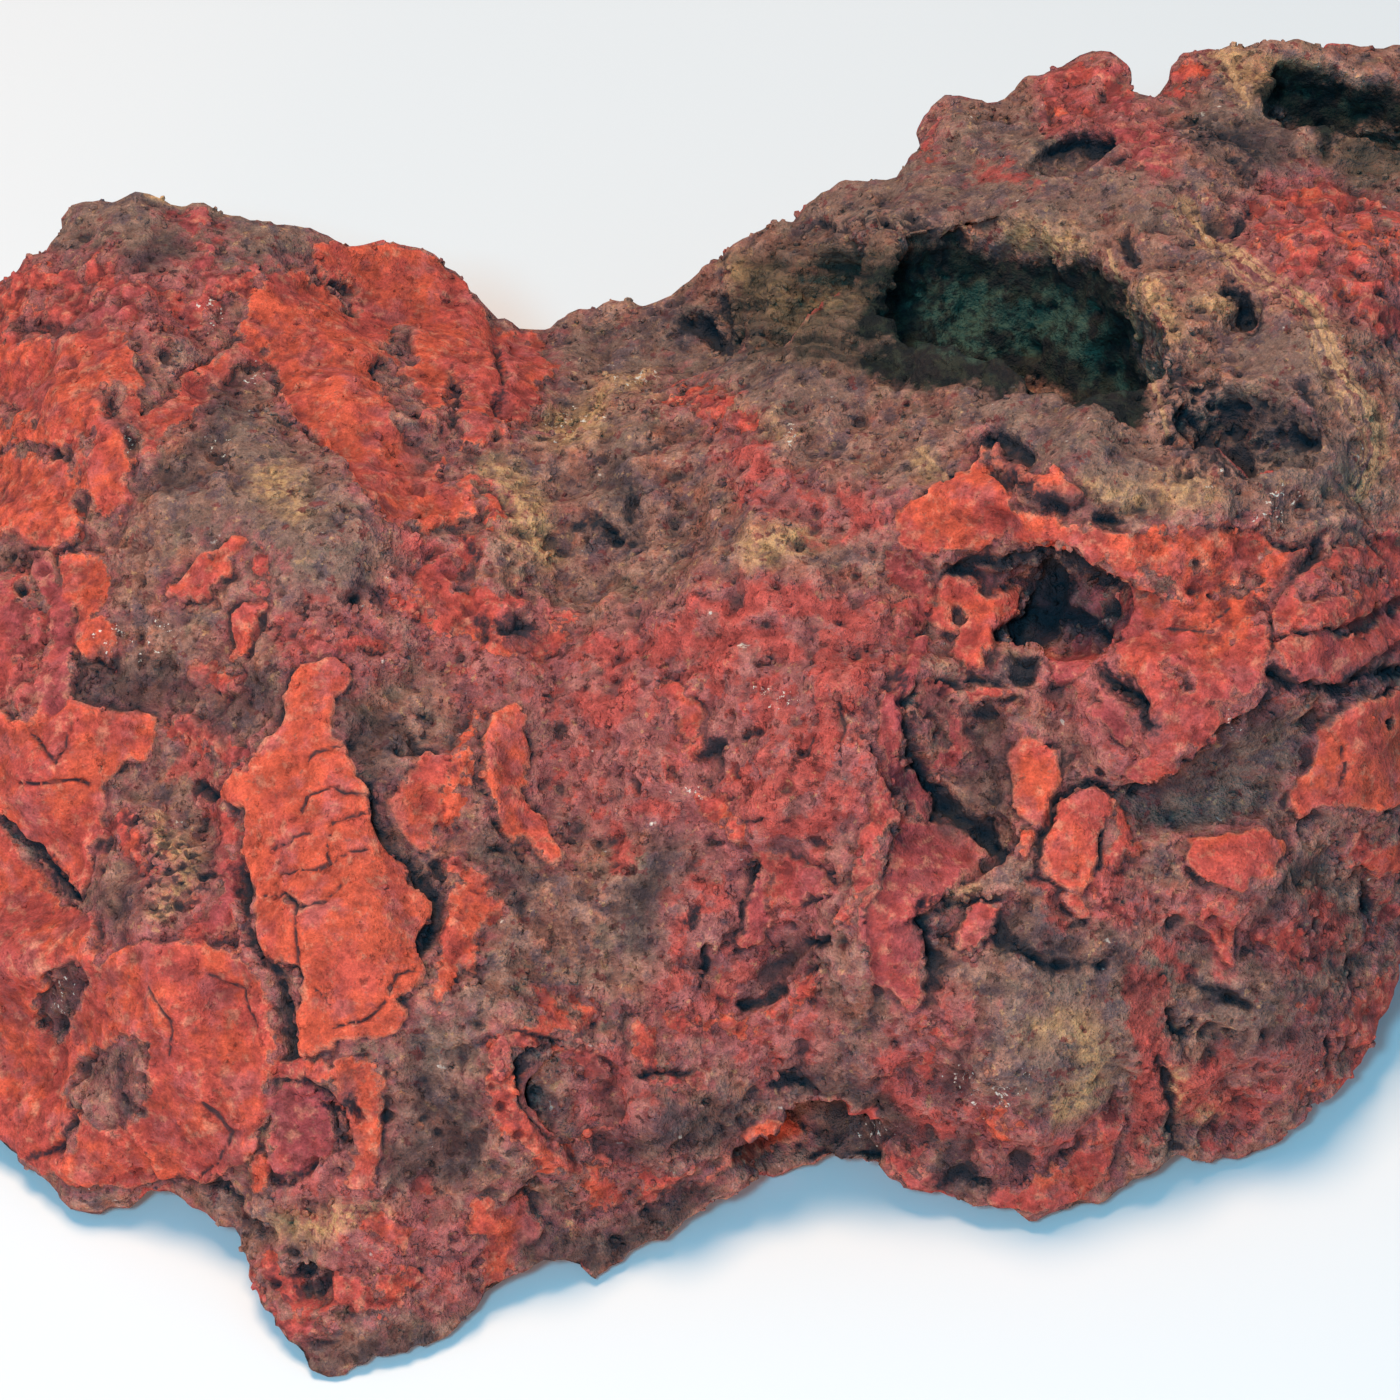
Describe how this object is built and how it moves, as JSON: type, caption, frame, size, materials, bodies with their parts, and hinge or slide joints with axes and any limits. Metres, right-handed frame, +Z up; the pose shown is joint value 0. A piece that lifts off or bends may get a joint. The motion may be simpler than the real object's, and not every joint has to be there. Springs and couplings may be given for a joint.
{
  "type": "banded ironstone",
  "caption": "Rough block of banded ironstone with a red ochre crust, brown porous rock, ochre laminae and deep weathered hollows.",
  "frame": {"origin": "middle of the bounding box's base, on the surface that the stone rests on", "axes": "+X along the stone's length, from its low end to its high end; +Y from the show face to the broken back; +Z up"},
  "size_m": [0.218, 0.1738, 0.0766],
  "materials": {
    "ironstone": "matt earthy haematite crust over rough brown porous rock"
  },
  "bodies": {
    "root": {"ironstone": "ironstone"}
  },
  "joints": []
}
